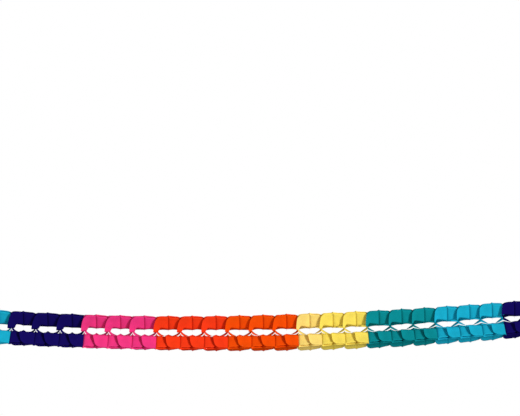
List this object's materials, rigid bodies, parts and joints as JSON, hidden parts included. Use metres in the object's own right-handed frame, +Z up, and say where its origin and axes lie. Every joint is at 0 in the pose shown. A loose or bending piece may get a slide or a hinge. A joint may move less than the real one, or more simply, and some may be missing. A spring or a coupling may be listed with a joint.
{
  "type": "tissue paper garland",
  "caption": "Rainbow tissue paper garland of die-cut leaves glued alternately, pulled open into rows of creased tiles, with a card and hanging hole at each end.",
  "frame": {"origin": "middle of the hanging hole in the left end card", "axes": "+X along the garland from left to right end, +Y to the back, +Z up; the garland sags evenly between two level ends"},
  "size_m": [1.7669, 0.1402, 0.1619],
  "materials": {
    "tissue_light_blue": "matt, slightly see-through tissue",
    "tissue_dark_blue": "matt, slightly see-through tissue",
    "tissue_pink": "matt, slightly see-through tissue",
    "tissue_red_orange": "matt, slightly see-through tissue",
    "tissue_orange": "matt, slightly see-through tissue",
    "tissue_yellow": "matt, slightly see-through tissue",
    "tissue_teal": "matt, slightly see-through tissue",
    "card": "matt"
  },
  "bodies": {
    "root": {"end_card_left": "card", "end_card_right": "card", "leaf_01_light_blue": "tissue_light_blue", "leaf_02_light_blue": "tissue_light_blue", "leaf_03_light_blue": "tissue_light_blue", "leaf_04_light_blue": "tissue_light_blue", "leaf_05_light_blue": "tissue_light_blue", "leaf_06_light_blue": "tissue_light_blue", "leaf_07_dark_blue": "tissue_dark_blue", "leaf_08_dark_blue": "tissue_dark_blue", "leaf_09_dark_blue": "tissue_dark_blue", "leaf_10_dark_blue": "tissue_dark_blue", "leaf_11_dark_blue": "tissue_dark_blue", "leaf_12_dark_blue": "tissue_dark_blue", "leaf_13_pink": "tissue_pink", "leaf_14_pink": "tissue_pink", "leaf_15_pink": "tissue_pink", "leaf_16_pink": "tissue_pink", "leaf_17_pink": "tissue_pink", "leaf_18_pink": "tissue_pink", "leaf_19_red_orange": "tissue_red_orange", "leaf_20_red_orange": "tissue_red_orange", "leaf_21_red_orange": "tissue_red_orange", "leaf_22_red_orange": "tissue_red_orange", "leaf_23_red_orange": "tissue_red_orange", "leaf_24_red_orange": "tissue_red_orange", "leaf_25_orange": "tissue_orange", "leaf_26_orange": "tissue_orange", "leaf_27_orange": "tissue_orange", "leaf_28_orange": "tissue_orange", "leaf_29_orange": "tissue_orange", "leaf_30_orange": "tissue_orange", "leaf_31_yellow": "tissue_yellow", "leaf_32_yellow": "tissue_yellow", "leaf_33_yellow": "tissue_yellow", "leaf_34_yellow": "tissue_yellow", "leaf_35_yellow": "tissue_yellow", "leaf_36_yellow": "tissue_yellow", "leaf_37_teal": "tissue_teal", "leaf_38_teal": "tissue_teal", "leaf_39_teal": "tissue_teal", "leaf_40_teal": "tissue_teal", "leaf_41_teal": "tissue_teal", "leaf_42_teal": "tissue_teal", "leaf_43_light_blue": "tissue_light_blue", "leaf_44_light_blue": "tissue_light_blue", "leaf_45_light_blue": "tissue_light_blue", "leaf_46_light_blue": "tissue_light_blue", "leaf_47_light_blue": "tissue_light_blue", "leaf_48_light_blue": "tissue_light_blue", "leaf_49_dark_blue": "tissue_dark_blue", "leaf_50_dark_blue": "tissue_dark_blue", "leaf_51_dark_blue": "tissue_dark_blue", "leaf_52_dark_blue": "tissue_dark_blue", "leaf_53_dark_blue": "tissue_dark_blue", "leaf_54_dark_blue": "tissue_dark_blue"}
  },
  "joints": []
}
